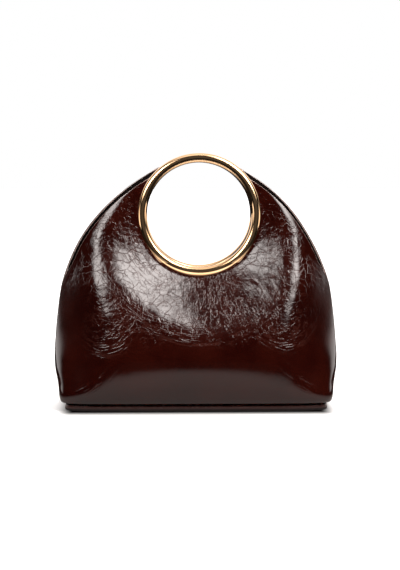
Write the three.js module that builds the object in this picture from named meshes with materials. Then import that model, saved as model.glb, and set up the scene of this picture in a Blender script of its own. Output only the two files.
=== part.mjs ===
// A half-moon handbag: two draped leather panels sewn together at the sides, a flat base,
// and a round metal ring handle held on each panel.
// The mouth is the long slot between the two panels: over one shoulder, under the rings and over the other.
// Millimetres, +Z up. The front faces -Y, and the origin is the middle of the base's underside.
import * as THREE from "three";

const { clamp, lerp, smoothstep, degToRad } = THREE.MathUtils;

// Driving dimensions
const WALL = 2;
const SEAM_GAP = 0.3;
const BASE = { halfLength: 117, halfDepth: 43, thickness: 5, edgeRound: 1.6, roundSteps: 2, squareness: 7 };
const ARCH = { radius: 156.7, across: 31.7, centreZ: 72.2 };
const MOUTH = { startZ: 110, easeZ: 22 };
const RING = { outerDiameter: 110, wire: 8.4, centreX: 3, centreZ: 172.2, depth: 14.5, lean: degToRad(5) };
const RING_RADIUS = (RING.outerDiameter - RING.wire) / 2;

// The leather is held flat against its ring as far out as start from the wire's middle, and is free at end.
const HOLD = { start: 7, end: 76 };

// The leather of the shoulders sways to one side with the rings.
const SWAY = { x: 2.5, fromZ: 145, toZ: 205 };

// The shoulders of the front panel slouch below those of the back panel: its horns end lower on their ring.
const PANELS = {
  front: { side: -1, slouch: 4, hornAngle: degToRad(42), mirror: 1 },
  back: { side: 1, slouch: 0, hornAngle: degToRad(52), mirror: -1 },
};

// The flanks below the mouth: half the width at each height.
const FLANK = [
  { z: 5.3, halfWidth: 115.6 },
  { z: 7.5, halfWidth: 120.6 },
  { z: 11, halfWidth: 121.8 },
  { z: 22, halfWidth: 123.1 },
  { z: 38, halfWidth: 126.3 },
  { z: 48, halfWidth: 126.9 },
  { z: 62, halfWidth: 126.2 },
  { z: 77, halfWidth: 125 },
  { z: 95, halfWidth: 122.9 },
  { z: 110, halfWidth: 120.4 },
  { z: 114, halfWidth: 119.3 },
];

// The plan outline at each height: half the depth at the middle, how square it is where it is a round wall,
// how far it is ridged instead, the share of the half width at which a ridged front turns into the flank,
// and half the mouth's opening.
const SECTIONS = [
  { z: 5.3, halfDepth: 41.2, squareness: 7, ridged: 0, turn: 0.66, mouth: 0 },
  { z: 7.5, halfDepth: 46.6, squareness: 6.8, ridged: 0, turn: 0.66, mouth: 0 },
  { z: 12, halfDepth: 49.4, squareness: 6.3, ridged: 0, turn: 0.66, mouth: 0 },
  { z: 24, halfDepth: 53, squareness: 5, ridged: 0.1, turn: 0.66, mouth: 0 },
  { z: 44, halfDepth: 55, squareness: 3.7, ridged: 0.4, turn: 0.66, mouth: 0 },
  { z: 72, halfDepth: 52, squareness: 2.8, ridged: 0.85, turn: 0.66, mouth: 0 },
  { z: 110, halfDepth: 41, squareness: 2.2, ridged: 1, turn: 0.74, mouth: 0 },
  { z: 130, halfDepth: 32.5, squareness: 2, ridged: 1, turn: 0.81, mouth: 6.5 },
  { z: 157, halfDepth: 22, squareness: 2, ridged: 1, turn: 0.9, mouth: 10.5 },
  { z: 187, halfDepth: 14.5, squareness: 2, ridged: 1, turn: 0.98, mouth: 9.5 },
  { z: 215, halfDepth: 9, squareness: 2, ridged: 1, turn: 1, mouth: 6 },
];

// How round the ridge between the front and the flank is, as a share of the half width.
const RIDGE_ROUND = 0.08;

// Main folds of a panel, seen from its own front: a soft line from one end to the other, bowed at its middle.
// A positive height stands out as a ridge and a negative one is a groove.
const FOLDS = [
  { x0: -84, z0: 130, x1: 2, z1: 66, bow: 4, width: 15, height: 4.5 },
  { x0: -112, z0: 12, x1: -68, z1: 44, bow: 3, width: 10, height: 0.8 },
  { x0: 113, z0: 14, x1: 70, z1: 48, bow: -3, width: 10, height: 0.8 },
];

// The folds fade out where a panel comes closer to its side edge than this share of the bulge.
const FOLD_FADE = 0.5;

// How finely each stretch of a panel's edge and the way from the ring to the edge are divided.
const STEPS = { shoulder: 12, flank: 8, hem: 26, out: 14, ringAround: 48, wireAround: 12, baseAround: 48 };

// Where on the ring the spokes of a panel start that end at the top of the flank and at the bottom corner.
const SPOKE_ANGLE = { flank: degToRad(186), corner: degToRad(218) };

// How the points along a spoke crowd towards the edge, at the horn, the flank and the corner.
const SPOKE_EASE = { horn: 0.6, flank: 0.9, corner: 1.4 };
const CORNER_EASE = 1.4;
const CORNER_QUARTER = 0.25;
const LONGEST_SEAT = 0.5;

const FINISH = {
  leather: { color: 0x3a1512, roughness: 0.34, metalness: 0 },
  baseLeather: { color: 0x33110f, roughness: 0.42, metalness: 0 },
  gold: { color: 0xd8a765, roughness: 0.16, metalness: 1 },
};

function namedMesh(name, geometry, finish) {
  const mesh = new THREE.Mesh(geometry, new THREE.MeshStandardMaterial(finish));
  mesh.name = name;
  return mesh;
}

// The value of one column at height z, on a smooth curve through the rows that never overshoots them.
function columnAt(rows, column, z) {
  const last = rows.length - 1;
  const at = clamp(z, rows[0].z, rows[last].z);
  const next = rows.findIndex((row) => row.z > at);
  const k = next < 0 ? last - 1 : next - 1;
  const slope = (j) => (rows[j + 1][column] - rows[j][column]) / (rows[j + 1].z - rows[j].z);
  const tangent = (j) => {
    if (j === 0 || j === last) return slope(Math.min(j, last - 1));
    const below = slope(j - 1);
    const above = slope(j);
    return below * above <= 0 ? 0 : (2 * below * above) / (below + above);
  };
  const step = rows[k + 1].z - rows[k].z;
  const t = (at - rows[k].z) / step;
  const from = rows[k][column] * (1 + 2 * t) * (1 - t) ** 2 + tangent(k) * step * t * (1 - t) ** 2;
  const to = rows[k + 1][column] * t * t * (3 - 2 * t) - tangent(k + 1) * step * t * t * (1 - t);
  return from + to;
}

// A point of a squared-off unit circle, seen from its middle at an angle.
function squaredCircle(angle, squareness) {
  const out = new THREE.Vector2(Math.cos(angle), Math.sin(angle));
  const reach = (Math.abs(out.x) ** squareness + Math.abs(out.y) ** squareness) ** (-1 / squareness);
  return out.multiplyScalar(reach);
}

// The pointed arch of the outline above, and the bulging flanks below.
function halfWidth(z, slouch) {
  if (z < MOUTH.startZ) return columnAt(FLANK, "halfWidth", z);
  const radius = ARCH.radius - slouch * smoothstep(z, MOUTH.startZ, MOUTH.startZ + MOUTH.easeZ);
  return Math.sqrt(radius ** 2 - (z - ARCH.centreZ) ** 2) - ARCH.across;
}

const swayAt = (z) => SWAY.x * smoothstep(z, SWAY.fromZ, SWAY.toZ);

// How far in front of the middle the leather lies where it is held against the back of its ring.
function seatDepth(z) {
  const ringPlane = RING.depth + (RING.centreZ - z) * Math.tan(RING.lean);
  return ringPlane - (RING.wire / 2 + SEAM_GAP) / Math.cos(RING.lean);
}

// The sum of the folds at a point of the panel seen from its front.
function foldHeight(x, z) {
  let sum = 0;
  for (const fold of FOLDS) {
    const along = new THREE.Vector2(fold.x1 - fold.x0, fold.z1 - fold.z0);
    const length = along.length();
    along.divideScalar(length);
    const from = new THREE.Vector2(x - fold.x0, z - fold.z0);
    const t = from.dot(along) / length;
    if (t <= 0 || t >= 1) continue;
    const across = from.cross(along) - fold.bow * Math.sin(Math.PI * t);
    sum += fold.height * Math.sin(Math.PI * t) * Math.exp(-((across / fold.width) ** 2));
  }
  return sum;
}

// A run that is flat before 0 and slants after it, rounded between.
const bend = (w) => (w + Math.hypot(w, RIDGE_ROUND)) / 2;

// The place u across a panel, from 0 at its left edge to 1 at its right, for a share of the half width.
const placeAcross = (share) => Math.acos(clamp(-share, -1, 1)) / Math.PI;

// A point of a panel's outer face.
function panelPoint(u, z, panel) {
  const across = Math.cos(Math.PI * u);
  const squareness = columnAt(SECTIONS, "squareness", z);
  const mouth = columnAt(SECTIONS, "mouth", z);
  const bulge = columnAt(SECTIONS, "halfDepth", z) - mouth;
  const turn = columnAt(SECTIONS, "turn", z);
  const roundWall = Math.max(0, 1 - Math.abs(across) ** squareness) ** (1 / squareness);
  const ridgedWall = 1 - bend(Math.abs(across) - turn) / bend(1 - turn);
  const forward = lerp(roundWall, ridgedWall, columnAt(SECTIONS, "ridged", z));
  const x = -halfWidth(z, panel.slouch) * across;
  const folds = foldHeight(x * panel.mirror, z) * Math.min(1, forward / FOLD_FADE);
  const draped = mouth + bulge * forward + folds;
  const swayed = x + swayAt(z);
  const beyondRing = Math.hypot(swayed - RING.centreX, z - RING.centreZ) - RING_RADIUS;
  const held = (1 - clamp((beyondRing - HOLD.start) / (HOLD.end - HOLD.start), 0, 1)) ** 2;
  const depth = SEAM_GAP / 2 + Math.max(0, lerp(draped, seatDepth(z), held));
  return new THREE.Vector3(swayed, panel.side * depth, z);
}

// The height where the ray from the ring's middle at the horn's angle crosses the arch.
function hornHeight({ slouch, hornAngle }) {
  const out = { x: Math.cos(hornAngle), z: Math.sin(hornAngle) };
  const from = { x: ARCH.across, z: RING.centreZ - ARCH.centreZ };
  const half = from.x * out.x + from.z * out.z;
  const rest = from.x ** 2 + from.z ** 2 - (ARCH.radius - slouch) ** 2;
  return RING.centreZ + out.z * (Math.sqrt(half ** 2 - rest) - half);
}

// An even run from 0 to 1 that crowds towards the corners of the outline at one and three quarters.
function crowdCorners(t) {
  const corner = t < 2 * CORNER_QUARTER ? CORNER_QUARTER : 3 * CORNER_QUARTER;
  const from = (t - corner) / CORNER_QUARTER;
  return corner + CORNER_QUARTER * Math.sign(from) * Math.abs(from) ** CORNER_EASE;
}

// The panel's outer edge as places (u, z), each with the angle on the ring that its spoke starts from
// and how the spoke is eased. It runs down the left shoulder and flank, along the hem, and up the right side.
function edgePlaces(panel) {
  const hemZ = SECTIONS[0].z;
  const hornZ = hornHeight(panel);
  const hornAngle = Math.PI - panel.hornAngle;
  const left = [];
  for (let i = 0; i < STEPS.shoulder; i++) {
    const t = i / STEPS.shoulder;
    const z = lerp(hornZ, MOUTH.startZ, t);
    const angle = lerp(hornAngle, SPOKE_ANGLE.flank, t);
    left.push({ u: 0, z, angle, ease: lerp(SPOKE_EASE.horn, SPOKE_EASE.flank, t) });
  }
  for (let i = 0; i < STEPS.flank; i++) {
    const t = i / STEPS.flank;
    const z = lerp(hemZ, MOUTH.startZ, (1 - t) ** CORNER_EASE);
    const angle = lerp(SPOKE_ANGLE.flank, SPOKE_ANGLE.corner, t);
    left.push({ u: 0, z, angle, ease: lerp(SPOKE_EASE.flank, SPOKE_EASE.corner, t) });
  }
  const hem = [];
  for (let i = 0; i <= STEPS.hem; i++) {
    const t = i / STEPS.hem;
    const u = placeAcross(-squaredCircle(Math.PI * crowdCorners(t), SECTIONS[0].squareness).x);
    const angle = lerp(SPOKE_ANGLE.corner, 3 * Math.PI - SPOKE_ANGLE.corner, t);
    hem.push({ u, z: hemZ, angle, ease: SPOKE_EASE.corner });
  }
  const right = left.map((place) => ({ ...place, u: 1, angle: 3 * Math.PI - place.angle })).reverse();
  return [...left, ...hem, ...right];
}

// The outer face as a grid: one row for each place on the edge, from the ring out to it.
function panelGrid(panel) {
  return edgePlaces(panel).map(({ u, z, angle, ease }) => {
    const ringZ = RING.centreZ + RING_RADIUS * Math.sin(angle);
    const ringU = placeAcross((RING_RADIUS * Math.cos(angle)) / halfWidth(ringZ, panel.slouch));
    const ringPoint = panelPoint(ringU, ringZ, panel);
    const edgePoint = panelPoint(u, z, panel);
    const spoke = Math.hypot(edgePoint.x - ringPoint.x, edgePoint.z - ringPoint.z);
    const seat = Math.min(HOLD.start / spoke, LONGEST_SEAT);
    const row = [ringPoint];
    for (let j = 0; j <= STEPS.out; j++) {
      const t = lerp(seat, 1, 1 - (1 - j / STEPS.out) ** ease);
      row.push(panelPoint(lerp(ringU, u, t), lerp(ringZ, z, t), panel));
    }
    return row;
  });
}

// A wall of leather behind a grid of points: the outer face, the same face one thickness in,
// and the edge all round.
function leatherWall(grid, side) {
  const rows = grid.length;
  const columns = grid[0].length;
  const index = [];
  const quad = (a, b, c, d) => index.push(...(side > 0 ? [a, b, c, a, c, d] : [a, c, b, a, d, c]));
  for (let i = 0; i < rows - 1; i++) {
    for (let j = 0; j < columns - 1; j++) {
      const a = i * columns + j;
      quad(a, a + columns, a + columns + 1, a + 1);
    }
  }
  const points = grid.flat();
  const face = new THREE.BufferGeometry().setFromPoints(points).setIndex(index);
  face.computeVertexNormals();

  const count = rows * columns;
  const outer = face.getAttribute("position");
  const normal = face.getAttribute("normal");
  for (let i = 0; i < count; i++) {
    const out = new THREE.Vector3().fromBufferAttribute(normal, i);
    const inner = new THREE.Vector3().fromBufferAttribute(outer, i).addScaledVector(out, -WALL);
    inner.y = side * Math.max(side * inner.y, SEAM_GAP / 2);
    points.push(inner);
  }
  const shell = [...index];
  for (let i = 0; i < index.length; i += 3) {
    shell.push(index[i] + count, index[i + 2] + count, index[i + 1] + count);
  }
  const rim = [];
  for (let i = 0; i < rows - 1; i++) rim.push(i * columns);
  for (let j = 0; j < columns - 1; j++) rim.push((rows - 1) * columns + j);
  for (let i = rows - 1; i > 0; i--) rim.push(i * columns + columns - 1);
  for (let j = columns - 1; j > 0; j--) rim.push(j);
  rim.forEach((a, i) => {
    const b = rim[(i + 1) % rim.length];
    const [p, q, r, s] = side > 0 ? [b, a, a + count, b + count] : [a, b, b + count, a + count];
    shell.push(p, q, r, p, r, s);
  });
  return new THREE.BufferGeometry().setFromPoints(points).setIndex(shell);
}

const panelMesh = (name, panel) => namedMesh(name, leatherWall(panelGrid(panel), panel.side), FINISH.leather);

// A closed metal ring, leaning with its panel towards the other ring at the top.
function ringMesh(name, panel) {
  const geometry = new THREE.TorusGeometry(RING_RADIUS, RING.wire / 2, STEPS.wireAround, STEPS.ringAround);
  const mesh = namedMesh(name, geometry, FINISH.gold);
  mesh.position.set(RING.centreX, panel.side * RING.depth, RING.centreZ);
  mesh.rotation.x = Math.PI / 2 + panel.side * RING.lean;
  return mesh;
}

// The sewn base: a squared oval slab with rounded edges that the hem of both panels stands on.
function baseMesh() {
  const outline = [];
  for (let i = 0; i < STEPS.baseAround; i++) {
    const half = (2 * i) / STEPS.baseAround;
    const angle = Math.PI * (Math.floor(half) + crowdCorners(half % 1));
    const corner = squaredCircle(angle, BASE.squareness);
    const x = (BASE.halfLength - BASE.edgeRound) * corner.x;
    const y = (BASE.halfDepth - BASE.edgeRound) * corner.y;
    outline.push(new THREE.Vector2(x, y));
  }
  const geometry = new THREE.ExtrudeGeometry(new THREE.Shape(outline), {
    depth: BASE.thickness - 2 * BASE.edgeRound,
    bevelThickness: BASE.edgeRound,
    bevelSize: BASE.edgeRound,
    bevelSegments: BASE.roundSteps,
  });
  const mesh = namedMesh("base", geometry, FINISH.baseLeather);
  mesh.position.z = BASE.edgeRound;
  return mesh;
}

const handbag = new THREE.Group();
handbag.add(
  baseMesh(),
  panelMesh("front_panel", PANELS.front),
  panelMesh("back_panel", PANELS.back),
  ringMesh("front_ring", PANELS.front),
  ringMesh("back_ring", PANELS.back),
);

export default handbag;
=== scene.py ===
"""A half-moon handbag: glossy crinkled oxblood leather on a flat base, with two polished ring handles."""

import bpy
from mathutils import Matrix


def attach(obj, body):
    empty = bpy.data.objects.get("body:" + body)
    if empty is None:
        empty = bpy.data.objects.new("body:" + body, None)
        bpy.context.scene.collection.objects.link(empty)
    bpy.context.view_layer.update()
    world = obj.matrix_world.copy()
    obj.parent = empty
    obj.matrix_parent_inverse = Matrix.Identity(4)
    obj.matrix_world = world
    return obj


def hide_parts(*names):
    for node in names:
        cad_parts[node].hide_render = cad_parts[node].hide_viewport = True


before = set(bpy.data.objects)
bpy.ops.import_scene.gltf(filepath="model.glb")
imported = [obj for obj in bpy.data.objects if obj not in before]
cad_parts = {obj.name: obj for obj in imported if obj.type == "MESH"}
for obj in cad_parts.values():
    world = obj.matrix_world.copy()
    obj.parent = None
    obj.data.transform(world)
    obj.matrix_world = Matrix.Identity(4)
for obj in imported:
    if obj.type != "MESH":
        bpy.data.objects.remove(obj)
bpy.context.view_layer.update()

import math
from collections import namedtuple

import bpy
import numpy as np
from mathutils import Quaternion, Vector

# Sizes in millimetres, as in the part's source. The front faces -Y and the origin is under the base.
MM = 0.001
WALL = 2.0
SEAM_GAP = 0.3
BODY = "root"
Arch = namedtuple("Arch", "radius across centre_z")
ARCH = Arch(156.7, 31.7, 72.2)
Mouth = namedtuple("Mouth", "start_z ease_z")
MOUTH = Mouth(110, 22)
Ring = namedtuple("Ring", "outer_diameter wire centre_x centre_z depth lean")
RING = Ring(110, 8.4, 3, 172.2, 14.5, math.radians(5))
RING_RADIUS = (RING.outer_diameter - RING.wire) / 2
Sway = namedtuple("Sway", "x from_z to_z")
SWAY = Sway(2.5, 145, 205)
FOLD_FADE = 0.5
RIDGE_ROUND = 0.08

# Drawn finer than in the solids: the sewn edges lie closer together, the edge of the base is less rounded,
# and the leather leaves its ring nearer to the wire.
SEWN_GAP = 0.1
Base = namedtuple("Base", "half_length half_depth thickness edge_round squareness")
BASE = Base(117, 43, 5, 0.9, 7)
Hold = namedtuple("Hold", "start end")
HOLD = Hold(5.5, 76)

Panel = namedtuple("Panel", "side slouch horn_angle mirror")
PANELS = {
    "front_panel": Panel(-1, 4, math.radians(42), 1),
    "back_panel": Panel(1, 0, math.radians(52), -1),
}

Flank = namedtuple("Flank", "z half_width")
FLANK = [
    Flank(5.3, 115.6),
    Flank(7.5, 120.6),
    Flank(11, 121.8),
    Flank(22, 123.1),
    Flank(38, 126.3),
    Flank(48, 126.9),
    Flank(62, 126.2),
    Flank(77, 125),
    Flank(95, 122.9),
    Flank(110, 120.4),
    Flank(114, 119.3),
]

# The panels' sections. Where ridged is 1, the front turns into the flank at a share of the half width.
Section = namedtuple("Section", "z half_depth squareness ridged turn mouth")
SECTIONS = [
    Section(5.3, 41.2, 7, 0, 0.66, 0),
    Section(7.5, 46.6, 6.8, 0, 0.66, 0),
    Section(12, 49.4, 6.3, 0, 0.66, 0),
    Section(24, 53, 5, 0.1, 0.66, 0),
    Section(44, 55, 3.7, 0.4, 0.66, 0),
    Section(72, 52, 2.8, 0.85, 0.66, 0),
    Section(110, 41, 2.2, 1, 0.74, 0),
    Section(130, 32.5, 2, 1, 0.81, 6.5),
    Section(157, 22, 2, 1, 0.9, 10.5),
    Section(187, 14.5, 2, 1, 0.98, 9.5),
    Section(215, 9, 2, 1, 1, 6),
]

# Main folds of a panel seen from its own front. A positive height is a ridge and a negative one a groove.
Fold = namedtuple("Fold", "x0 z0 x1 z1 bow width height")
FOLDS = [
    Fold(-84, 130, 2, 66, 4, 15, 4.5),
    Fold(-112, 12, -68, 44, 3, 10, 0.8),
    Fold(113, 14, 70, 48, -3, 10, 0.8),
]

# How finely a panel is divided round its edge, from the ring to the edge, on its inside and round its rims
Steps = namedtuple("Steps", "shoulder flank hem out inside rim")
STEPS = Steps(84, 50, 130, 168, 36, 4)
SPOKE_FLANK = math.radians(186)
SPOKE_CORNER = math.radians(218)
CORNER_EASE = 1.4
CORNER_QUARTER = 0.25
RING_STEPS = 240
WIRE_STEPS = 48

# A spoke is first drawn with this many steps, which crowd by this power towards the sharply turned edge.
FINE_STEPS = 1500
FINE_CROWD = 8

# The most of a spoke that the turned hem takes up
HEM_MOST = 0.5

# How far the points of the mouth's rounded hem lie from its painted highlight line, from the outer face to
# the inner
ROUND_HEM = (3.0, 3.0, 0.5, 0.0)
FAR_FROM_HEM = 99.0
TINY = 1e-9


# Node helpers
FLOAT = "NodeSocketFloat"
VECTOR = "NodeSocketVector"
GEOMETRY = "NodeSocketGeometry"
MATERIAL = "NodeSocketMaterial"

# The colour sockets of a mix node, by number because their names are shared
MIX_FIRST = 6
MIX_SECOND = 7
MIX_RESULT = 2


def put(tree, socket, value):
    """Joins a socket to another node's output, or sets its value."""
    if isinstance(value, bpy.types.NodeSocket):
        tree.links.new(value, socket)
    else:
        socket.default_value = value


def put_all(tree, node, values):
    for key, value in values.items():
        put(tree, node.inputs[key], value)


def add_node(tree, kind, values=None, **settings):
    """A node with its settings, and its inputs, by name or number, set or joined."""
    made = tree.nodes.new(kind)
    for key, value in settings.items():
        setattr(made, key, value)
    put_all(tree, made, values or {})
    return made


def calc(tree, operation, *values):
    return add_node(tree, "ShaderNodeMath", dict(enumerate(values)), operation=operation).outputs[0]


def vector_calc(tree, operation, *values):
    made = add_node(tree, "ShaderNodeVectorMath", dict(enumerate(values)), operation=operation)
    return made.outputs[0]


def scaled(tree, vector, factor):
    made = add_node(tree, "ShaderNodeVectorMath", {0: vector, "Scale": factor}, operation="SCALE")
    return made.outputs[0]


def length_of(tree, vector):
    return add_node(tree, "ShaderNodeVectorMath", {0: vector}, operation="LENGTH").outputs["Value"]


def parts_of(tree, vector):
    return add_node(tree, "ShaderNodeSeparateXYZ", {0: vector}).outputs


def vector_of(tree, *parts):
    return add_node(tree, "ShaderNodeCombineXYZ", dict(enumerate(parts))).outputs[0]


def total(tree, *terms):
    """The sum of values, each given with a factor."""
    result = None
    for value, factor in terms:
        part = calc(tree, "MULTIPLY", value, factor)
        result = part if result is None else calc(tree, "ADD", result, part)
    return result


def ramp(tree, value, low, high, start=0.0, end=1.0):
    """A smooth run from start to end while a value goes from low to high."""
    inputs = {"Value": value, "From Min": low, "From Max": high, "To Min": start, "To Max": end}
    return add_node(tree, "ShaderNodeMapRange", inputs, interpolation_type="SMOOTHSTEP").outputs[0]


def noise(tree, vector, scale, detail=2.0, roughness=0.5):
    inputs = {"Vector": vector, "Scale": scale, "Detail": detail, "Roughness": roughness}
    return add_node(tree, "ShaderNodeTexNoise", inputs)


def mix_colour(tree, factor, first, second):
    inputs = {"Factor": factor, MIX_FIRST: first, MIX_SECOND: second}
    return add_node(tree, "ShaderNodeMix", inputs, data_type="RGBA").outputs[MIX_RESULT]


def bump(tree, height):
    """The surface's direction as a height in metres turns it."""
    return add_node(tree, "ShaderNodeBump", {"Height": height, "Distance": 1.0, "Strength": 1.0}).outputs[0]


def object_place(tree):
    return add_node(tree, "ShaderNodeTexCoord").outputs["Object"]


def kept(tree, name):
    """An attribute that is kept on a piece's points."""
    return add_node(tree, "ShaderNodeAttribute", attribute_name=name).outputs


def camera_sees(tree):
    return add_node(tree, "ShaderNodeLightPath").outputs["Is Camera Ray"]


def new_group(name, kind, inputs, outputs):
    """An empty node group with named sockets, given as name: (socket type, value), and its two end nodes."""
    group = bpy.data.node_groups.new(name, kind)
    for label, (socket_type, value) in inputs.items():
        socket = group.interface.new_socket(label, in_out="INPUT", socket_type=socket_type)
        if value is not None:
            socket.default_value = value
    for label, socket_type in outputs.items():
        group.interface.new_socket(label, in_out="OUTPUT", socket_type=socket_type)
    return group, group.nodes.new("NodeGroupInput").outputs, group.nodes.new("NodeGroupOutput").inputs


# The panels' form, by the same rules as the solids
def smooth_step(x, low, high):
    t = np.clip((x - low) / (high - low), 0, 1)
    return t * t * (3 - 2 * t)


def between(a, b, t):
    return a + (b - a) * t


def bell(x, middle, spread):
    return np.exp(-(((x - middle) / spread) ** 2))


def column_at(rows, column, z):
    """One column of a table at heights z, on a smooth curve through the rows that never overshoots them."""
    heights = np.array([row.z for row in rows], float)
    values = np.array([getattr(row, column) for row in rows], float)
    steps = np.diff(heights)
    slopes = np.diff(values) / steps
    product = slopes[:-1] * slopes[1:]
    both = np.where(product > 0, slopes[:-1] + slopes[1:], 1)
    tangents = np.concatenate([slopes[:1], np.where(product > 0, 2 * product / both, 0), slopes[-1:]])
    at = np.clip(z, heights[0], heights[-1])
    k = np.clip(np.searchsorted(heights, at, side="right") - 1, 0, len(steps) - 1)
    t = (at - heights[k]) / steps[k]
    start = values[k] * (1 + 2 * t) * (1 - t) ** 2 + tangents[k] * steps[k] * t * (1 - t) ** 2
    end = values[k + 1] * t * t * (3 - 2 * t) - tangents[k + 1] * steps[k] * t * t * (1 - t)
    return start + end


def turned_over(z):
    """How far the leather's edge is turned over at a height: not where it is sewn, fully along the mouth."""
    return smooth_step(z, MOUTH.start_z, MOUTH.start_z + MOUTH.ease_z)


def half_width(z, slouch):
    """The pointed arch of the outline above, and the bulging flanks below."""
    radius = ARCH.radius - slouch * smooth_step(z, MOUTH.start_z, MOUTH.start_z + MOUTH.ease_z)
    arch = np.sqrt(np.maximum(radius**2 - (z - ARCH.centre_z) ** 2, 0)) - ARCH.across
    return np.where(z < MOUTH.start_z, column_at(FLANK, "half_width", z), arch)


def seat_depth(z):
    """How far in front of the middle the leather lies where it is held against the back of its ring."""
    ring_plane = RING.depth + (RING.centre_z - z) * math.tan(RING.lean)
    return ring_plane - (RING.wire / 2 + SEAM_GAP) / math.cos(RING.lean)


def fold_places(fold, x, z):
    """How far points lie along a fold and across it, and how strong the fold is there."""
    way = np.array([fold.x1 - fold.x0, fold.z1 - fold.z0], float)
    length = np.linalg.norm(way)
    way /= length
    along = (x - fold.x0) * way[0] + (z - fold.z0) * way[1]
    taper = np.where((along > 0) & (along < length), np.sin(np.pi * along / length), 0)
    across = (x - fold.x0) * way[1] - (z - fold.z0) * way[0] - fold.bow * taper
    return along, across, taper


def fold_height(x, z):
    """The sum of the folds at points of a panel seen from its front."""
    height = np.zeros_like(x)
    for fold in FOLDS:
        _, across, taper = fold_places(fold, x, z)
        height += fold.height * taper * bell(across, 0, fold.width)
    return height


def bend(w):
    """A run that is flat before 0, slants after it and is rounded between."""
    return (w + np.hypot(w, RIDGE_ROUND)) / 2


def place_across(share):
    """The place between a panel's left edge, 0, and its right, 1, at a share of its half width."""
    return np.arccos(np.clip(-share, -1, 1)) / np.pi


def panel_points(u, z, panel):
    """Points of a panel's outer face, u running from 0 at its left edge to 1 at its right."""
    across = np.cos(np.pi * u)
    squareness = column_at(SECTIONS, "squareness", z)
    mouth = column_at(SECTIONS, "mouth", z)
    bulge = column_at(SECTIONS, "half_depth", z) - mouth
    rounded = np.maximum(0, 1 - np.abs(across) ** squareness) ** (1 / squareness)
    turn = column_at(SECTIONS, "turn", z)
    ridged = 1 - bend(np.abs(across) - turn) / bend(1 - turn)
    forward = between(rounded, ridged, column_at(SECTIONS, "ridged", z))
    x = -half_width(z, panel.slouch) * across
    folds = fold_height(x * panel.mirror, z) * np.minimum(1, forward / FOLD_FADE)
    draped = mouth + bulge * forward + folds
    swayed = x + SWAY.x * smooth_step(z, SWAY.from_z, SWAY.to_z)
    beyond_ring = np.hypot(swayed - RING.centre_x, z - RING.centre_z) - RING_RADIUS
    held = (1 - np.clip((beyond_ring - HOLD.start) / (HOLD.end - HOLD.start), 0, 1)) ** 2
    depth = SEWN_GAP / 2 + np.maximum(0, between(draped, seat_depth(z), held))
    return np.stack([swayed, panel.side * depth, z], axis=-1)


def horn_height(panel):
    """The height where the ray from the ring's middle at the horn's angle crosses the arch."""
    out_x, out_z = math.cos(panel.horn_angle), math.sin(panel.horn_angle)
    from_x, from_z = ARCH.across, RING.centre_z - ARCH.centre_z
    half = from_x * out_x + from_z * out_z
    rest = from_x**2 + from_z**2 - (ARCH.radius - panel.slouch) ** 2
    return RING.centre_z + out_z * (math.sqrt(half**2 - rest) - half)


def crowd_corners(t):
    """An even run from 0 to 1 that crowds towards the corners at one and three quarters."""
    corner = np.where(t < 2 * CORNER_QUARTER, CORNER_QUARTER, 3 * CORNER_QUARTER)
    start = (t - corner) / CORNER_QUARTER
    return corner + CORNER_QUARTER * np.sign(start) * np.abs(start) ** CORNER_EASE


def squared_circle(angle, squareness):
    x, y = np.cos(angle), np.sin(angle)
    reach = (np.abs(x) ** squareness + np.abs(y) ** squareness) ** (-1 / squareness)
    return x * reach, y * reach


def edge_places(panel):
    """The panel's outer edge as columns u, z and the angle on the ring that each spoke starts from."""
    hem_z = SECTIONS[0].z
    t = np.arange(STEPS.shoulder) / STEPS.shoulder
    shoulder = [
        np.zeros_like(t),
        between(horn_height(panel), MOUTH.start_z, t),
        between(math.pi - panel.horn_angle, SPOKE_FLANK, t),
    ]
    t = np.arange(STEPS.flank) / STEPS.flank
    flank = [
        np.zeros_like(t),
        between(hem_z, MOUTH.start_z, (1 - t) ** CORNER_EASE),
        between(SPOKE_FLANK, SPOKE_CORNER, t),
    ]
    t = np.arange(STEPS.hem + 1) / STEPS.hem
    hem = [
        place_across(-squared_circle(np.pi * crowd_corners(t), SECTIONS[0].squareness)[0]),
        np.full_like(t, hem_z),
        between(SPOKE_CORNER, 3 * math.pi - SPOKE_CORNER, t),
    ]
    left = np.concatenate([np.array(shoulder), np.array(flank)], axis=1)
    right = left[:, ::-1].copy()
    right[0] = 1
    right[2] = 3 * math.pi - right[2]
    return np.concatenate([left, np.array(hem), right], axis=1)


def unit(vectors):
    return vectors / np.maximum(np.linalg.norm(vectors, axis=-1, keepdims=True), TINY)


def evenly_spaced(rows, count):
    """Rows of points drawn anew, each with the same number of points at even distances along it."""
    steps = np.linalg.norm(np.diff(rows, axis=1), axis=-1)
    along = np.concatenate([np.zeros((len(rows), 1)), np.cumsum(steps, axis=1)], axis=1)
    share = np.linspace(0, 1, count)
    spaced = np.empty((len(rows), count, 3))
    for i, row in enumerate(rows):
        for axis in range(3):
            spaced[i, :, axis] = np.interp(share * along[i, -1], along[i], row[:, axis])
    return spaced


def panel_grid(panel):
    """The outer face as a grid, one row for each place on the edge, from the ring to the edge.

    Along the mouth it stops half a wall short, where the leather turns over.
    """
    u, z, angle = (column[:, None] for column in edge_places(panel))
    ring_z = RING.centre_z + RING_RADIUS * np.sin(angle)
    ring_u = place_across(RING_RADIUS * np.cos(angle) / half_width(ring_z, panel.slouch))
    spoke = panel_points(u, z, panel) - panel_points(ring_u, ring_z, panel)
    length = np.linalg.norm(spoke[..., [0, 2]], axis=-1)
    reach = 1 - turned_over(z) * np.minimum(WALL / 2 / length, HEM_MOST)
    t = reach * (1 - (1 - np.arange(FINE_STEPS + 1) / FINE_STEPS) ** FINE_CROWD)
    fine = panel_points(between(ring_u, u, t), between(ring_z, z, t), panel)
    return evenly_spaced(fine, STEPS.out + 1)


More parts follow.
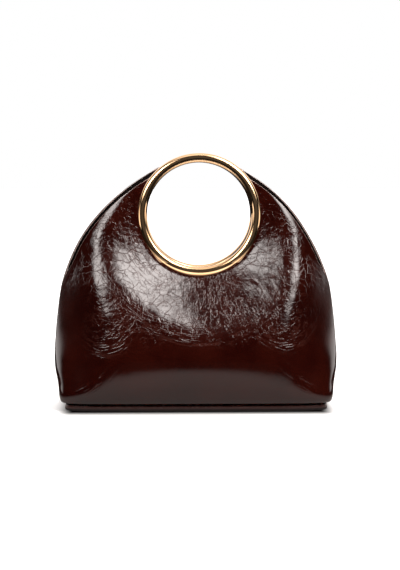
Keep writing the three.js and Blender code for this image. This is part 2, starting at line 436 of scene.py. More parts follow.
def grid_normals(grid, side):
    down = np.gradient(grid, axis=0)
    out = np.gradient(grid, axis=1)
    normal = unit(np.cross(down, out))
    return normal * np.sign(normal[..., 1:2].mean()) * side


def rim_points(outer, inner, outward):
    """Rounded edge of the leather, from its outer face round to its inner face."""
    middle, across = (outer + inner) / 2, (outer - inner) / 2
    turn = np.pi * np.arange(1, STEPS.rim) / STEPS.rim
    rounded = [middle + across * math.cos(a) + outward * (WALL / 2) * math.sin(a) for a in turn]
    return np.stack(rounded, axis=1)


def new_mesh(name, points, faces, flat_faces=0):
    """A smooth mesh of points in millimetres, of whose faces the last few may be flat."""
    mesh = bpy.data.meshes.new(name)
    mesh.from_pydata((points.reshape(-1, 3) * MM).tolist(), [], faces)
    smooth = np.arange(len(faces)) < len(faces) - flat_faces
    mesh.polygons.foreach_set("use_smooth", smooth)
    mesh.update()
    return mesh


def keep_attribute(mesh, name, kind, domain, values):
    attribute = mesh.attributes.new(name, kind, domain)
    field = "vector" if kind == "FLOAT_VECTOR" else "value"
    attribute.data.foreach_set(field, np.ascontiguousarray(values).reshape(-1))


def panel_mesh(name, grid, panel):
    """A leather panel as one closed wall, with the places that its finish needs kept on its points."""
    inside = grid - WALL * grid_normals(grid, panel.side)
    inside[..., 1] = panel.side * np.maximum(panel.side * inside[..., 1], SEWN_GAP / 2)
    picked = np.round(np.linspace(STEPS.out, 0, STEPS.inside)).astype(int)
    edge_out = unit(grid[:, -1] - grid[:, -2]) * turned_over(grid[:, -1, 2:])
    ring_out = unit(grid[:, 0] - grid[:, 2])
    loops = [
        grid,
        rim_points(grid[:, -1], inside[:, -1], edge_out),
        inside[:, picked],
        rim_points(inside[:, 0], grid[:, 0], ring_out),
    ]
    points = np.concatenate(loops, axis=1)
    rows, columns = points.shape[:2]
    index = np.arange(rows * columns).reshape(rows, columns)
    following = np.roll(index, -1, axis=1)
    quads = np.stack([index[:-1], index[1:], following[1:], following[:-1]], axis=-1).reshape(-1, 4)
    caps = [index[0].tolist(), index[-1][::-1].tolist()]
    faces = quads.tolist() + caps
    if panel.side < 0:
        faces = [face[::-1] for face in faces]
    mesh = new_mesh(name, points, faces)

    outer_count = grid.shape[1]
    first_inside = outer_count + STEPS.rim - 1
    hidden = np.zeros((rows - 1, columns), bool)
    hidden[:, first_inside : first_inside + STEPS.inside - 1] = True
    keep_attribute(mesh, "inside", "BOOLEAN", "FACE", np.append(hidden, [False] * len(caps)))
    from_hem = np.full((rows, columns), FAR_FROM_HEM)
    on_mouth = grid[:, -1, 2] > MOUTH.start_z
    from_hem[on_mouth, :outer_count] = np.linalg.norm(grid - grid[:, -1:], axis=-1)[on_mouth]
    from_hem[on_mouth, outer_count : first_inside + 1] = ROUND_HEM
    keep_attribute(mesh, "from_hem", "FLOAT", "POINT", from_hem)
    on_outer = np.zeros((rows, columns))
    on_outer[:, :outer_count] = 1
    keep_finish_places(mesh, points, on_outer, panel)
    return mesh


# Where the leather is crinkled, in millimetres and degrees on the panel seen from its own front.
# It is smoother near the edges, at the sides, at the foot and at the top of the shoulders.
SMOOTH_EDGE = {"low": (16, 40), "high": (1, 6)}
SMOOTH_SIDE = (92, 135)
SMOOTH_FOOT = (40, 82)
SMOOTH_TOP = (160, 205)
TOP_CRINKLE = 0.5

# Ovals in which it cracks into plates, which calm the other creases
Plates = namedtuple("Plates", "x z half_x half_z")
PLATES = [
    Plates(-52, 124, 30, 26),
    Plates(-18, 90, 26, 18),
    Plates(48, 126, 20, 22),
    Plates(-91, 132, 13, 26),
    Plates(90, 130, 13, 30),
]
PLATES_EDGE = (0.7, 1.5)
PLATES_CALM = 0.7

# Creases that fan out under the ring: they rise over some way from its wire, are strongest near it and fade
Fan = namedtuple("Fan", "turn spread rise fade calm strong strong_until stretch")
FAN = Fan(-82, 36, 9, (84, 108), 0.6, 1.8, (56, 72), 1.5)

# Creases that run round the ring like hoops or along the low folds' crests, and smiles round two low middles.
# The fades are in from their inner and outer bounds, and stretch is in millimetres for each degree.
Hoop = namedtuple("Hoop", "turn spread inner outer")
HOOPS = [Hoop(-142, 24, 55, 80), Hoop(-98, 40, 92, 118)]
HOOP_FADES = (8, 10)
HOOP_STRETCH = 1.2
FOLD_CREST = 0.5
Smile = namedtuple("Smile", "x z inner outer turn spread")
SMILES = [Smile(77, 87, 8, 40, -85, 75), Smile(-86, 87, 12, 46, -55, 70)]
SMILE_FADES = (8, 14)
SMILE_STRETCH = 0.6


def polar(x, z, centre_x, centre_z):
    """How far points lie from a middle, and in which direction in degrees."""
    return np.hypot(x - centre_x, z - centre_z), np.degrees(np.arctan2(z - centre_z, x - centre_x))


def arc_strength(radius, turn, row, fades):
    """How strong the creases of a hoop or a smile are."""
    rise = smooth_step(radius, row.inner, row.inner + fades[0])
    fall = 1 - smooth_step(radius, row.outer - fades[1], row.outer)
    return rise * fall * bell(turn, row.turn, row.spread)


def keep_stronger(flow, along, across, strength):
    """Gives a flow the creases that are stronger than its own."""
    here = strength > flow[..., 2]
    flow[here] = np.stack([along, across, strength], -1)[here]


def crinkle_places(x, z, on_outer, slouch):
    """How crinkled the leather is."""
    from_edge = half_width(z, slouch) - np.abs(x)
    low = smooth_step(from_edge, *SMOOTH_EDGE["low"])
    high = smooth_step(from_edge, *SMOOTH_EDGE["high"])
    crinkle = between(low, high, smooth_step(z, *SMOOTH_SIDE)) * smooth_step(z, *SMOOTH_FOOT)
    return crinkle * between(1, TOP_CRINKLE, smooth_step(z, *SMOOTH_TOP)) * on_outer


def plate_places(x, z):
    """How far the leather is cracked into plates."""
    plates = np.zeros_like(x)
    for row in PLATES:
        apart = np.hypot((x - row.x) / row.half_x, (z - row.z) / row.half_z)
        plates = np.maximum(plates, 1 - smooth_step(apart, *PLATES_EDGE))
    return plates


def fan_flow(x, z, on_outer, plates):
    radius, turn = polar(x, z, RING.centre_x, RING.centre_z)
    fan = bell(turn, FAN.turn, FAN.spread) * smooth_step(radius, RING_RADIUS, RING_RADIUS + FAN.rise)
    fan *= 1 - smooth_step(radius, *FAN.fade)
    fan *= 1 - FAN.calm * plates
    fan *= between(FAN.strong, 1, smooth_step(radius, *FAN.strong_until))
    return np.stack([radius, turn * FAN.stretch, fan * on_outer], -1)


def hoop_flow(x, z, on_outer):
    """Hoops round the ring, and creases along the crests of the low folds."""
    radius, turn = polar(x, z, RING.centre_x, RING.centre_z)
    hoop = np.zeros_like(x)
    for row in HOOPS:
        hoop = np.maximum(hoop, arc_strength(radius, turn, row, HOOP_FADES) * on_outer)
    flow = np.stack([turn * HOOP_STRETCH, radius, hoop], -1)
    for fold in FOLDS[1:]:
        along, across, taper = fold_places(fold, x, z)
        crest = taper * bell(across, 0, fold.width * FOLD_CREST) * on_outer
        keep_stronger(flow, along, across, crest)
    return flow


def smile_flow(x, z, on_outer):
    flow = np.zeros(x.shape + (3,))
    for row in SMILES:
        radius, turn = polar(x, z, row.x, row.z)
        smile = arc_strength(radius, turn, row, SMILE_FADES) * on_outer
        keep_stronger(flow, turn * SMILE_STRETCH, radius, smile)
    return flow


def keep_finish_places(mesh, points, on_outer, panel):
    """Keeps how crinkled and cracked each point is, and the ways along and across the drawn creases."""
    x = points[..., 0] * panel.mirror
    z = points[..., 2]
    crinkle = crinkle_places(x, z, on_outer, panel.slouch)
    plates = plate_places(x, z)
    keep_attribute(mesh, "crinkle", "FLOAT", "POINT", crinkle)
    keep_attribute(mesh, "plates", "FLOAT", "POINT", plates * crinkle)
    flows = {
        "wiggle": np.stack([x, z, crinkle * (1 - PLATES_CALM * plates)], -1),
        "fan": fan_flow(x, z, on_outer, plates),
        "hoop": hoop_flow(x, z, on_outer),
        "smile": smile_flow(x, z, on_outer),
    }
    for name, flow in flows.items():
        keep_attribute(mesh, name, "FLOAT_VECTOR", "POINT", flow)


# Creases, made alike for the shape and for the finish. They are broken up by a coarse noise.
Broken = namedtuple("Broken", "shift scale soft")
CRACKS_BROKEN = Broken((7.3, 1.9, 4.1), 0.45, 0.08)
LINES_BROKEN = Broken((3.7, 8.2, 1.3), 0.8, 0.07)
STRAY_SCALE = 0.8
STRAY_DETAIL = 1.0
LINE_DETAIL = 2.5
NOISE_MIDDLE = 0.5


def still_there(tree, place, broken, gone):
    """1 where a crease is left and 0 where it is gone."""
    shown = noise(tree, vector_calc(tree, "ADD", place, broken.shift), broken.scale).outputs[0]
    low = calc(tree, "SUBTRACT", gone, broken.soft)
    high = calc(tree, "ADD", gone, broken.soft)
    return ramp(tree, shown, low, high)


def crack_lines(tree, place, cell, width, wander, gone):
    """Lines where neighbouring cells of cracked leather meet, wandering and broken up."""
    at = scaled(tree, place, calc(tree, "DIVIDE", 1.0, cell))
    stray = noise(tree, at, STRAY_SCALE, STRAY_DETAIL).outputs["Color"]
    stray = vector_calc(tree, "SUBTRACT", stray, (NOISE_MIDDLE, NOISE_MIDDLE, NOISE_MIDDLE))
    bent = vector_calc(tree, "ADD", at, scaled(tree, stray, wander))
    inputs = {"Vector": bent, "Scale": 1.0}
    cells = add_node(tree, "ShaderNodeTexVoronoi", inputs, feature="DISTANCE_TO_EDGE")
    line = ramp(tree, cells.outputs["Distance"], 0.0, width, 1.0, 0.0)
    return calc(tree, "MULTIPLY", line, still_there(tree, at, CRACKS_BROKEN, gone))


def drawn_lines(tree, flow, length, spacing, width, gone):
    """Lines that follow a drawn way: flow holds the way along, the way across and how strong they are."""
    parts = parts_of(tree, flow)
    along = calc(tree, "DIVIDE", parts[0], length)
    across = calc(tree, "DIVIDE", parts[1], spacing)
    place = vector_of(tree, along, across)
    level = noise(tree, place, 1.0, LINE_DETAIL).outputs[0]
    apart = calc(tree, "ABSOLUTE", calc(tree, "SUBTRACT", level, NOISE_MIDDLE))
    left = calc(tree, "MULTIPLY", still_there(tree, place, LINES_BROKEN, gone), parts[2])
    return calc(tree, "MULTIPLY", ramp(tree, apart, 0.0, width, 1.0, 0.0), left)


CRACKLE_INPUTS = {
    "Place": (VECTOR, None),
    "Cell": (FLOAT, 0.005),
    "Width": (FLOAT, 0.16),
    "Wander": (FLOAT, 1.2),
    "Gone": (FLOAT, 0.45),
}
DRAWN_INPUTS = {
    "Flow": (VECTOR, None),
    "Length": (FLOAT, 20.0),
    "Spacing": (FLOAT, 5.0),
    "Width": (FLOAT, 0.05),
    "Gone": (FLOAT, 0.45),
}


def crease_group(name, lines, inputs):
    """A node group of creases that a function draws from the group's inputs, in their order."""
    group, given, result = new_group(name, "ShaderNodeTree", inputs, {"Crease": FLOAT})
    put(group, result["Crease"], lines(group, *(given[label] for label in inputs)))
    return group


Grain = namedtuple("Grain", "scale detail roughness")
GRAINS = {
    "Pores": Grain(1400.0, 2.0, 0.5),
    "Dimples": Grain(320.0, 1.0, 0.5),
    "Tone": Grain(28.0, 3.0, 0.6),
}


def grain_group():
    """Fine pores and shallow dimples of the hide, and slow changes of its tone."""
    inputs = {"Place": (VECTOR, None)}
    outputs = {name: FLOAT for name in GRAINS}
    group, given, result = new_group("hide_grain", "ShaderNodeTree", inputs, outputs)
    for name, row in GRAINS.items():
        put(group, result[name], noise(group, given["Place"], *row).outputs[0])
    return group


GROUPS = {
    "crackle": crease_group("crackle", crack_lines, CRACKLE_INPUTS),
    "drawn": crease_group("drawn_creases", drawn_lines, DRAWN_INPUTS),
    "grain": grain_group(),
}


def use_group(tree, name, values):
    return add_node(tree, "ShaderNodeGroup", values, node_tree=GROUPS[name]).outputs


def new_material(name):
    material = bpy.data.materials.new(name)
    material.use_nodes = True
    tree = material.node_tree
    return material, tree, tree.nodes["Principled BSDF"]


# The middle of a noise's run, over which one tone passes into another
TONE_RUN = (0.3, 0.7)

# Leather of the panels: dark and glossy, with creases that catch the light
LEATHER_DEEP = (0.0165, 0.0012, 0.0005, 1)
LEATHER_WARM = (0.028, 0.0030, 0.0013, 1)
LEATHER_CREASE_PALE_AND_GLINT = (0.10, 0.032, 0.024, 1)
LEATHER_PORES = 0.000012
LEATHER_DIMPLES = 0.00003
LEATHER_ROUGH = (0.08, 0.09)
LEATHER_GLOSS = {"IOR": 1.56, "Coat Weight": 0.25, "Coat Roughness": 0.08}

# Creases lighten from the first depth to the second, in millimetres, by this share at most, partly as the
# hide pales where it creases and partly as a painted glint.
CREASE_LIGHT = (0.01, 0.12)
CREASE_LIGHTEST = 0.25

# The painted highlight line along the hem, in millimetres from it
HEM_PAINTED_HIGHLIGHT = (0.42, 0.31, 0.28, 1)
HEM_LINE = (1.8, 3.2)
HEM_HIGHLIGHT_MOST = 0.9

# Cracks between plates of leather, with cells in metres and depths in millimetres
Network = namedtuple("Network", "cell width wander gone depth")
NETWORKS = [Network(0.0095, 0.045, 1.0, 0.43, 0.22), Network(0.0038, 0.08, 0.9, 0.52, 0.07)]

# Creases that follow a drawn way, in millimetres
Stroke = namedtuple("Stroke", "flow length spacing width gone depth")
STROKES = [
    Stroke("fan", 9, 3.6, 0.06, 0.45, 0.11),
    Stroke("smile", 16, 4.2, 0.09, 0.46, 0.15),
    Stroke("hoop", 22, 4.5, 0.06, 0.44, 0.2),
    Stroke("wiggle", 6.5, 5.5, 0.06, 0.48, 0.14),
    Stroke("wiggle", 2.8, 2.3, 0.1, 0.46, 0.035),
]


def leather_creases(tree, place):
    """The depth of all creases of the panels' leather, in millimetres."""
    cracks = []
    for row in NETWORKS:
        sizes = {"Cell": row.cell, "Width": row.width, "Wander": row.wander, "Gone": row.gone}
        lines = use_group(tree, "crackle", {"Place": place, **sizes})["Crease"]
        cracks.append((lines, row.depth))
    creases = [(total(tree, *cracks), kept(tree, "plates")["Fac"])]
    for row in STROKES:
        sizes = {"Length": row.length, "Spacing": row.spacing, "Width": row.width, "Gone": row.gone}
        lines = use_group(tree, "drawn", {"Flow": kept(tree, row.flow)["Vector"], **sizes})["Crease"]
        creases.append((lines, row.depth))
    return total(tree, *creases)


def leather_material():
    material, tree, shader = new_material("crinkled_leather")
    place = object_place(tree)
    creases = leather_creases(tree, place)
    grain = use_group(tree, "grain", {"Place": place})
    fine = ((grain["Pores"], LEATHER_PORES), (grain["Dimples"], LEATHER_DIMPLES))
    tone = mix_colour(tree, ramp(tree, grain["Tone"], *TONE_RUN), LEATHER_DEEP, LEATHER_WARM)
    # Painted glint, partly the hide's own paler creases: the crease colour is mixed in by crease depth
    light = ramp(tree, creases, *CREASE_LIGHT, 0.0, CREASE_LIGHTEST)
    tone = mix_colour(tree, light, tone, LEATHER_CREASE_PALE_AND_GLINT)
    # Painted highlight: a pale line coloured along the hem's rolled edge
    hem_highlight = ramp(tree, kept(tree, "from_hem")["Fac"], *HEM_LINE, HEM_HIGHLIGHT_MOST, 0.0)
    finish = {
        "Base Color": mix_colour(tree, hem_highlight, tone, HEM_PAINTED_HIGHLIGHT),
        "Roughness": calc(tree, "MULTIPLY_ADD", grain["Tone"], *LEATHER_ROUGH),
        "Normal": bump(tree, total(tree, (creases, -MM), *fine)),
    }
    put_all(tree, shader, {**finish, **LEATHER_GLOSS})
    return material


# Leather of the base: smoother, with painted shade making it dark at its foot, where it is also dull, up to
# heights in metres
BASE_DEEP = (0.052, 0.011, 0.008, 1)
BASE_WARM = (0.070, 0.018, 0.014, 1)
BASE_PAINTED_SHADE = (0.006, 0.002, 0.0016, 1)
BASE_FOOT = (0.0012, 0.0036)
BASE_CRACKS = {"Cell": 0.004, "Width": 0.15, "Wander": 1.2, "Gone": 0.55}
BASE_CRACK_DEPTH = 0.00003
BASE_PORES = 0.000008
BaseRough = namedtuple("BaseRough", "tone crack pores dull")
BASE_ROUGH = BaseRough(0.2, 0.1, 0.3, 0.4)
BASE_COAT = 0.3
BASE_COAT_ROUGH = 0.2


def base_leather_material():
    material, tree, shader = new_material("base_leather")
    place = object_place(tree)
    cracks = use_group(tree, "crackle", {"Place": place, **BASE_CRACKS})["Crease"]
    grain = use_group(tree, "grain", {"Place": place})
    tone = mix_colour(tree, ramp(tree, grain["Tone"], *TONE_RUN), BASE_DEEP, BASE_WARM)
    # Painted shade: the foot is coloured dark, and it is also given less coat and more roughness
    above_shaded_foot = ramp(tree, parts_of(tree, place)[2], *BASE_FOOT)
    dull = calc(tree, "SUBTRACT", 1.0, above_shaded_foot)
    finish = {
        "Base Color": mix_colour(tree, above_shaded_foot, BASE_PAINTED_SHADE, tone),
        "Roughness": total(tree, *zip((grain["Tone"], cracks, grain["Pores"], dull), BASE_ROUGH)),
        "Coat Weight": calc(tree, "MULTIPLY", above_shaded_foot, BASE_COAT),
        "Coat Roughness": BASE_COAT_ROUGH,
        "Normal": bump(tree, total(tree, (cracks, -BASE_CRACK_DEPTH), (grain["Pores"], BASE_PORES))),
    }
    put_all(tree, shader, finish)
    return material


# The plain flesh side of the leather, inside the bag: dark of its own, and darkened further as painted shade
# so that the open mouth shows as a black gap
FLESH_DEEP = (0.004, 0.002, 0.0016, 1)
FLESH_PALE = (0.012, 0.006, 0.005, 1)
FLESH_NAP = Grain(900.0, 3.0, 0.7)
FLESH_NAP_HEIGHT = 0.0002
FLESH_NAP_SHARE = 0.6
FLESH_ROUGH = (0.2, 0.8, 0.8, 0.95)
FLESH_SHINE = 0.1


def flesh_material():
    material, tree, shader = new_material("flesh_side")
    place = object_place(tree)
    nap = noise(tree, place, *FLESH_NAP).outputs[0]
    tone = use_group(tree, "grain", {"Place": place})["Tone"]
    shade = total(tree, (nap, FLESH_NAP_SHARE), (tone, 1 - FLESH_NAP_SHARE))
    finish = {
        "Base Color": mix_colour(tree, ramp(tree, shade, *TONE_RUN), FLESH_DEEP, FLESH_PALE),
        "Roughness": ramp(tree, nap, *FLESH_ROUGH),
        "Specular IOR Level": FLESH_SHINE,
        "Normal": bump(tree, calc(tree, "MULTIPLY", nap, FLESH_NAP_HEIGHT)),
    }
    put_all(tree, shader, finish)
    return material


# Polished metal of the rings
GOLD_PALE = (0.78, 0.52, 0.30, 1)
GOLD_WARM = (0.68, 0.42, 0.22, 1)
GOLD_CLOUD = Grain(40.0, 3.0, 0.6)
GOLD_CLOUD_ROUGH = 0.1
GOLD_POLISH = Grain(700.0, 2.0, 0.5)
GOLD_POLISH_ROUGH = 0.08
GOLD_POLISH_HEIGHT = 0.0000005


def gold_material():
    material, tree, shader = new_material("rose_gold")
    place = object_place(tree)
    cloud = noise(tree, place, *GOLD_CLOUD).outputs[0]
    polish = noise(tree, place, *GOLD_POLISH).outputs[0]
    finish = {
        "Base Color": mix_colour(tree, ramp(tree, cloud, *TONE_RUN), GOLD_PALE, GOLD_WARM),
        "Roughness": total(tree, (cloud, GOLD_CLOUD_ROUGH), (polish, GOLD_POLISH_ROUGH)),
        "Normal": bump(tree, calc(tree, "MULTIPLY", polish, GOLD_POLISH_HEIGHT)),
        "Metallic": 1.0,
    }
    put_all(tree, shader, finish)
    return material


# Creases pressed into the panels' shape and lumps between them, in metres, and how the creases are drawn
PRESSED = {"Cell": 0.011, "Depth": 0.00012, "Lump Size": 0.013, "Lump Height": 0.0009}
Drawn = namedtuple("Drawn", "width wander gone")
PRESSED_DRAWN = Drawn(0.22, 1.5, 0.45)


def named_attribute(tree, name, kind):
    made = add_node(tree, "GeometryNodeInputNamedAttribute", {"Name": name}, data_type=kind)
    return next(socket for socket in made.outputs if socket.enabled and socket.name == "Attribute")


def set_material(tree, values):
    return add_node(tree, "GeometryNodeSetMaterial", values).outputs[0]


def crinkle_tree():
    """Presses creases into a panel's outer face, as deep as its crinkle says, and lays on its finishes."""
    inputs = {
        "Geometry": (GEOMETRY, None),
        **{label: (FLOAT, value) for label, value in PRESSED.items()},
        "Leather": (MATERIAL, None),
        "Flesh": (MATERIAL, None),
    }
    tree, given, result = new_group("crinkle", "GeometryNodeTree", inputs, {"Geometry": GEOMETRY})
    place = add_node(tree, "GeometryNodeInputPosition").outputs[0]
    creases = crack_lines(tree, place, given["Cell"], *PRESSED_DRAWN)
    lumps = noise(tree, place, calc(tree, "DIVIDE", 1.0, given["Lump Size"])).outputs[0]
    lift = calc(tree, "MULTIPLY", calc(tree, "SUBTRACT", lumps, NOISE_MIDDLE), given["Lump Height"])
    lift = calc(tree, "SUBTRACT", lift, calc(tree, "MULTIPLY", creases, given["Depth"]))
    lift = calc(tree, "MULTIPLY", lift, named_attribute(tree, "crinkle", "FLOAT"))
    way = add_node(tree, "GeometryNodeInputNormal").outputs[0]
    offset = {"Geometry": given["Geometry"], "Offset": scaled(tree, way, lift)}
    moved = add_node(tree, "GeometryNodeSetPosition", offset).outputs[0]
    whole = add_node(tree, "GeometryNodeRealizeInstances", {0: moved}).outputs[0]
    outside = set_material(tree, {"Geometry": whole, "Material": given["Leather"]})
    inside = named_attribute(tree, "inside", "BOOLEAN")
    laid = set_material(tree, {"Geometry": outside, "Selection": inside, "Material": given["Flesh"]})
    put(tree, result["Geometry"], laid)
    return tree


def circle(tree, steps, radius):
    inputs = {"Resolution": steps, "Radius": radius}
    return add_node(tree, "GeometryNodeCurvePrimitiveCircle", inputs, mode="RADIUS").outputs[0]


def ring_tree():
    """A round ring of round wire, leaning at its place."""
    inputs = {
        "Radius": (FLOAT, RING_RADIUS * MM),
        "Wire Radius": (FLOAT, RING.wire / 2 * MM),
        "Place": (VECTOR, None),
        "Turn": (VECTOR, None),
        "Metal": (MATERIAL, None),
    }
    tree, given, result = new_group("ring", "GeometryNodeTree", inputs, {"Geometry": GEOMETRY})
    path = circle(tree, RING_STEPS, given["Radius"])
    wire = circle(tree, WIRE_STEPS, given["Wire Radius"])
    tube = add_node(tree, "GeometryNodeCurveToMesh", {"Curve": path, "Profile Curve": wire}).outputs[0]
    lean = {"Geometry": tube, "Translation": given["Place"], "Rotation": given["Turn"]}
    placed = add_node(tree, "GeometryNodeTransform", lean).outputs[0]
    smooth = add_node(tree, "GeometryNodeSetShadeSmooth", {"Geometry": placed}).outputs[0]
    whole = add_node(tree, "GeometryNodeRealizeInstances", {0: smooth}).outputs[0]
    put(tree, result["Geometry"], set_material(tree, {"Geometry": whole, "Material": given["Metal"]}))
    return tree


def shaped(name, mesh, tree, values):
    """A new object whose plain mesh is what a geometry node tree makes of a mesh."""
    start = bpy.data.objects.new(name + "_start", mesh)
    bpy.context.scene.collection.objects.link(start)
    modifier = start.modifiers.new("shape", "NODES")
    modifier.node_group = tree
    for socket in tree.interface.items_tree:
        if socket.in_out == "INPUT" and socket.name in values:
            modifier[socket.identifier] = values[socket.name]
    graph = bpy.context.evaluated_depsgraph_get()
    result = bpy.data.meshes.new_from_object(start.evaluated_get(graph), depsgraph=graph)
    bpy.data.objects.remove(start)
    result.name = name
    piece = bpy.data.objects.new(name, result)
    bpy.context.scene.collection.objects.link(piece)
    return piece


def base_mesh(name, around=320, rounding=8):
    """The sewn base: a squared oval slab with rounded edges."""
    half = 2 * np.arange(around) / around
    angle = np.pi * (np.floor(half) + crowd_corners(half % 1))
    x, y = squared_circle(angle, BASE.squareness)
    quarter = np.pi / 2 * np.arange(rounding + 1) / rounding
    inset = BASE.edge_round * np.concatenate([1 - np.sin(quarter), 1 - np.cos(quarter)])
    low = BASE.edge_round * (1 - np.cos(quarter))
    high = BASE.thickness - BASE.edge_round * (1 - np.sin(quarter))
    levels = [
        np.stack([(BASE.half_length - i) * x, (BASE.half_depth - i) * y, np.full_like(x, z)], -1)
        for i, z in zip(inset, np.concatenate([low, high]))
    ]
    index = np.arange(len(levels) * around).reshape(len(levels), around)
    following = np.roll(index, -1, axis=1)
    quads = np.stack([index[:-1], following[:-1], following[1:], index[1:]], axis=-1).reshape(-1, 4)
    caps = [index[0][::-1].tolist(), index[-1].tolist()]
    return new_mesh(name, np.array(levels), quads.tolist() + caps, flat_faces=len(caps))


# Build the pieces
leather = leather_material()
flesh = flesh_material()
gold = gold_material()
crinkle = crinkle_tree()
ring_shape = ring_tree()

leathers = bpy.data.collections.new("leathers")
for name, panel in PANELS.items():
    grid = panel_grid(panel)
    values = {"Leather": leather, "Flesh": flesh, **PRESSED}
    piece = shaped("leather_" + name, panel_mesh(name, grid, panel), crinkle, values)
    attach(piece, BODY)
    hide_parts(name)
    leathers.objects.link(piece)

rings = bpy.data.collections.new("rings")
for name, panel in (("front_ring", PANELS["front_panel"]), ("back_ring", PANELS["back_panel"])):
    values = {
        "Radius": RING_RADIUS * MM,
        "Wire Radius": RING.wire / 2 * MM,
        "Place": Vector((RING.centre_x, panel.side * RING.depth, RING.centre_z)) * MM,
        "Turn": Vector((math.pi / 2 + panel.side * RING.lean, 0, 0)),
        "Metal": gold,
    }
    piece = shaped("polished_" + name, bpy.data.meshes.new(name), ring_shape, values)
    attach(piece, BODY)
    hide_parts(name)
    rings.objects.link(piece)
    # The mirror image of a ring would put a dark halo on the leather round it.
    piece.visible_glossy = False

base = bpy.data.objects.new("sewn_base", base_mesh("sewn_base"))
base.data.materials.append(base_leather_material())
bpy.context.scene.collection.objects.link(base)
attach(base, BODY)
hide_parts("base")
leathers.objects.link(base)


# Stage: pale floor, soft studio light and the camera at the photograph's angle, in metres
WARM_WHITE = (1, 0.95, 0.92)
WHITE = (1, 1, 1, 1)
FLOOR_HALF = 12.0
FLOOR_PALE = (0.9, 0.9, 0.9, 1)
# The colour of the painted shadow round the base
FLOOR_PAINTED_SHADOW = (0.001, 0.001, 0.001, 1)
FLOOR_MATT = {"Specular IOR Level": 0.0, "Roughness": 0.9}

# The floor that the leather mirrors: a painted pool of light, pale in an oval round the bag and dark beyond
MIRRORED_PALE = (0.42, 0.40, 0.39, 1)
MIRRORED_DARK = (0.01, 0.01, 0.01, 1)
MIRRORED_HALF = (0.17, 0.2)
MIRRORED_EDGE = (0.75, 1.2)

# The painted shadow round the base: how far inside its ends it starts, how much faster it fades there, and
# its reach
Shade = namedtuple("Shade", "inset end_fade reach")
SHADE = Shade(0.008, 1.7, 0.033)

# A run of brightness: from start to end while a distance or a direction goes from low to high
Glow = namedtuple("Glow", "low high start end")
FLOOR_GLOW = Glow(0.25, 0.6, 0.4, 1.0)
BACK_GLOW = Glow(0.22, 0.48, 0.01, 1.5)
CEILING_GLOW = Glow(0.5, 1.06, 0.0, 0.1)


def floor_material():
    """White paper with a painted shadow where the base stands. To mirror images it shows a painted pool of
    light round the bag, and beyond it is dark.
    """
    material, tree, shader = new_material("white_paper")
    place = object_place(tree)
    parts = parts_of(tree, place)
    beside = calc(tree, "ABSOLUTE", parts[0])
    before = calc(tree, "ABSOLUTE", parts[1])
    oval = (calc(tree, "DIVIDE", side, half) for side, half in zip((beside, before), MIRRORED_HALF))
    beyond = ramp(tree, length_of(tree, vector_of(tree, *oval)), *MIRRORED_EDGE)
    # Painted pool of light on the floor, seen only in mirror images
    mirrored = mix_colour(tree, beyond, MIRRORED_PALE, MIRRORED_DARK)
    off_end = calc(tree, "SUBTRACT", beside, BASE.half_length * MM - SHADE.inset)
    off_end = calc(tree, "MULTIPLY", calc(tree, "MAXIMUM", off_end, 0.0), SHADE.end_fade)
    off_front = calc(tree, "SUBTRACT", before, BASE.half_depth * MM)
    off_front = calc(tree, "MAXIMUM", off_front, 0.0)
    lit = ramp(tree, length_of(tree, vector_of(tree, off_end, off_front)), 0.0, SHADE.reach)
    seen = camera_sees(tree)
    # Painted shadow: the paper is coloured dark near the base and pale away from it
    paper = mix_colour(tree, lit, FLOOR_PAINTED_SHADOW, FLOOR_PALE)
    glow = calc(tree, "MULTIPLY", ramp(tree, length_of(tree, place), *FLOOR_GLOW), lit)
    finish = {
        "Base Color": mix_colour(tree, seen, mirrored, paper),
        "Emission Strength": calc(tree, "MULTIPLY", glow, seen),
        "Emission Color": WHITE,
    }
    put_all(tree, shader, {**finish, **FLOOR_MATT})
    return material


def floor():
    mesh = bpy.data.meshes.new("floor")
    corners = [(-1, -1), (1, -1), (1, 1), (-1, 1)]
    mesh.from_pydata([(FLOOR_HALF * x, FLOOR_HALF * y, 0) for x, y in corners], [], [(0, 1, 2, 3)])
    plane = bpy.data.objects.new("floor", mesh)
    mesh.materials.append(floor_material())
    bpy.context.scene.collection.objects.link(plane)


def studio_air():
    """White behind the bag to the camera; to everything else a dim room, lighter at the back and overhead."""
    world = bpy.data.worlds.new("studio")
    bpy.context.scene.world = world
    world.use_nodes = True
    tree = world.node_tree
    tree.nodes.clear()
    parts = parts_of(tree, add_node(tree, "ShaderNodeTexCoord").outputs["Generated"])
    glow = calc(tree, "ADD", ramp(tree, parts[1], *BACK_GLOW), ramp(tree, parts[2], *CEILING_GLOW))
    room = add_node(tree, "ShaderNodeBackground", {"Color": (*WARM_WHITE, 1), "Strength": glow})
    white = add_node(tree, "ShaderNodeBackground", {"Color": WHITE, "Strength": 1.0})
    shown = {0: camera_sees(tree), 1: room.outputs[0], 2: white.outputs[0]}
    both = add_node(tree, "ShaderNodeMixShader", shown)
    add_node(tree, "ShaderNodeOutputWorld", {"Surface": both.outputs[0]})


# Softboxes round the bag. Four of them light the rings alone.
Softbox = namedtuple("Softbox", "name azimuth elevation roll distance width height brightness only")
SOFTBOXES = [
    Softbox("left", -45, 38, 15, 1.3, 1.25, 0.9, 8.8, None),
    Softbox("right", 51, 49, -20, 1.3, 1.1, 1.65, 11.0, None),
    Softbox("ring_top", 0, 84, 0, 1.3, 1.7, 1.3, 1.8, rings),
    Softbox("ring_front", 0, 15, 0, 1.3, 2.4, 2.4, 0.09, rings),
    Softbox("ring_left", -78, 3, 0, 1.3, 1.1, 0.8, 2.2, rings),
    Softbox("ring_right", 78, 3, 0, 1.3, 1.1, 0.8, 2.2, rings),
]
AIM = Vector((0, 0, 0.1))

# A softbox is bright in its middle and dark at its edges, by shares of its size.
SOFT_EDGE = (0.12, 0.52)
SOFT_MIDDLE = (0.5, 0.5, 0.0)

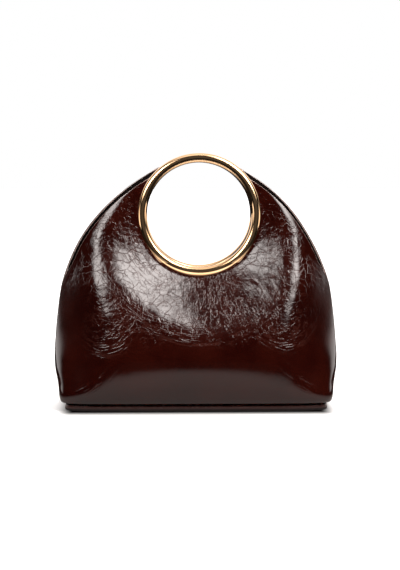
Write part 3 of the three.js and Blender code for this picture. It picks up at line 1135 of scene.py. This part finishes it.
# Small lamps that shine up on the rings alone
RingLamp = namedtuple("RingLamp", "name x y z width height brightness")
RING_LAMPS = [
    RingLamp("ring_hole", 0.003, 0.0, 0.13, 0.2, 0.12, 0.9),
    RingLamp("ring_foot", 0.003, -0.036, 0.113, 0.22, 0.034, 2.2),
]


def direction(azimuth, elevation):
    """The way from the bag to an azimuth, 0 being in front of it and 90 on its right, and an elevation."""
    a, e = math.radians(azimuth), math.radians(elevation)
    return Vector((math.sin(a) * math.cos(e), -math.cos(a) * math.cos(e), math.sin(e)))


def soften(light):
    """Lets a light fade from its bright middle to its edges."""
    light.use_nodes = True
    tree = light.node_tree
    place = add_node(tree, "ShaderNodeNewGeometry").outputs["Parametric"]
    apart = length_of(tree, vector_calc(tree, "SUBTRACT", place, SOFT_MIDDLE))
    put(tree, tree.nodes["Emission"].inputs["Strength"], ramp(tree, apart, *SOFT_EDGE, 1.0, 0.0))


def add_light(row, place, turn, only):
    """A rectangular light that the leather alone can shade."""
    light = bpy.data.lights.new(row.name, "AREA")
    light.shape = "RECTANGLE"
    light.size = row.width
    light.size_y = row.height
    light.energy = row.brightness * math.pi * row.width * row.height
    light.color = WARM_WHITE
    soften(light)
    box = bpy.data.objects.new(row.name, light)
    box.location = place
    box.rotation_euler = turn.to_euler()
    box.visible_camera = False
    box.light_linking.receiver_collection = only
    box.light_linking.blocker_collection = leathers
    bpy.context.scene.collection.objects.link(box)


def add_lights():
    for row in SOFTBOXES:
        way = direction(row.azimuth, row.elevation)
        turn = way.to_track_quat("Z", "Y") @ Quaternion((0, 0, 1), math.radians(row.roll))
        add_light(row, AIM + way * row.distance, turn, row.only)
    face_up = Quaternion((1, 0, 0), math.pi)
    for row in RING_LAMPS:
        add_light(row, Vector((row.x, row.y, row.z)), face_up, rings)


IMAGE_HIGH = 570
SENSOR = 36.0
View = namedtuple("View", "azimuth elevation distance target mm_per_pixel")
VIEW = View(-1.5, 4, 1.6, Vector((0.0039, 0, 0.1086)), 0.9)


def add_camera():
    data = bpy.data.cameras.new("camera")
    data.sensor_width = SENSOR
    data.lens = SENSOR * VIEW.distance / (IMAGE_HIGH * VIEW.mm_per_pixel * MM)
    camera = bpy.data.objects.new("camera", data)
    way = direction(VIEW.azimuth, VIEW.elevation)
    camera.location = VIEW.target + way * VIEW.distance
    camera.rotation_euler = way.to_track_quat("Z", "Y").to_euler()
    bpy.context.scene.collection.objects.link(camera)
    bpy.context.scene.camera = camera


floor()
studio_air()
add_lights()
add_camera()
bpy.context.scene.view_settings.view_transform = "Standard"
